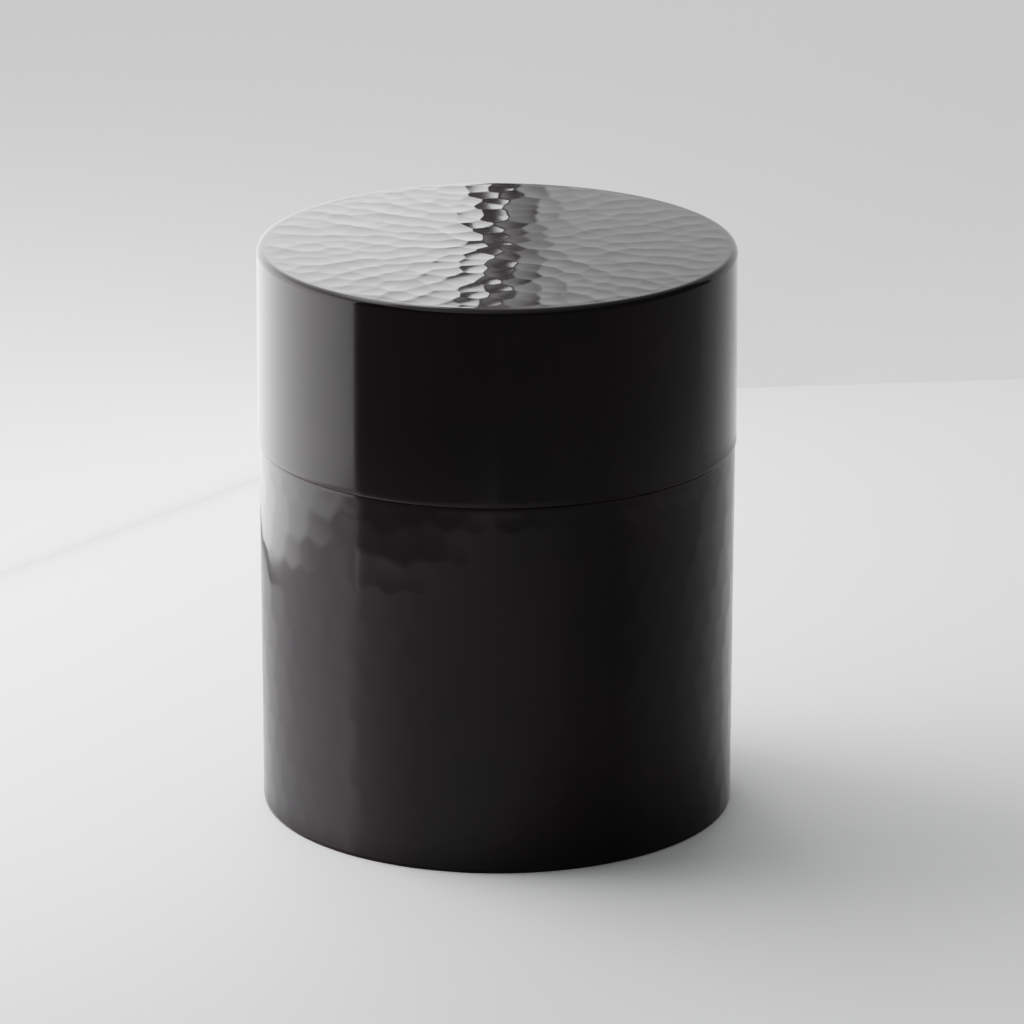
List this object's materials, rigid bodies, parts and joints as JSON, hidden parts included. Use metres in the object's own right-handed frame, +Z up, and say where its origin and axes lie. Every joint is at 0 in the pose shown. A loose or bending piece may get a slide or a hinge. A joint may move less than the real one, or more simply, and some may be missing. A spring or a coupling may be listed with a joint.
{
  "type": "tea caddy",
  "caption": "Round lidded tea caddy: hammered dark-lacquered shell, tinned liner standing up as a collar, sliding cap lid and knobbed inner lid.",
  "frame": {"origin": "centre of the flat face the caddy stands on", "axes": "+Z up along the caddy's turning axis, the way both lids lift; +X and +Y are any two directions across it, because the caddy is round"},
  "size_m": [0.08, 0.08, 0.0964],
  "materials": {
    "dark_lacquer": "gloss",
    "tinned_sheet": "satin",
    "turned_brass": "satin"
  },
  "bodies": {
    "caddy_body": {"body_wall": "dark_lacquer", "base_plate": "dark_lacquer", "liner_wall": "tinned_sheet", "liner_base": "tinned_sheet"},
    "cap_lid": {"lid_wall": "dark_lacquer", "lid_top": "dark_lacquer"},
    "inner_lid": {"inner_lid_plate": "tinned_sheet", "inner_lid_skirt": "tinned_sheet", "inner_lid_knob": "turned_brass"}
  },
  "joints": [
    {"name": "lid_lift", "type": "slide", "parent": "caddy_body", "child": "cap_lid", "axis": [0, 0, 1], "range_m": [0, 0.12]},
    {"name": "inner_lid_lift", "type": "slide", "parent": "caddy_body", "child": "inner_lid", "axis": [0, 0, 1], "range_m": [0, 0.048]}
  ],
  "couplings": [
    {"joint": "inner_lid_lift", "follows": "lid_lift", "ratio": 0.4}
  ]
}
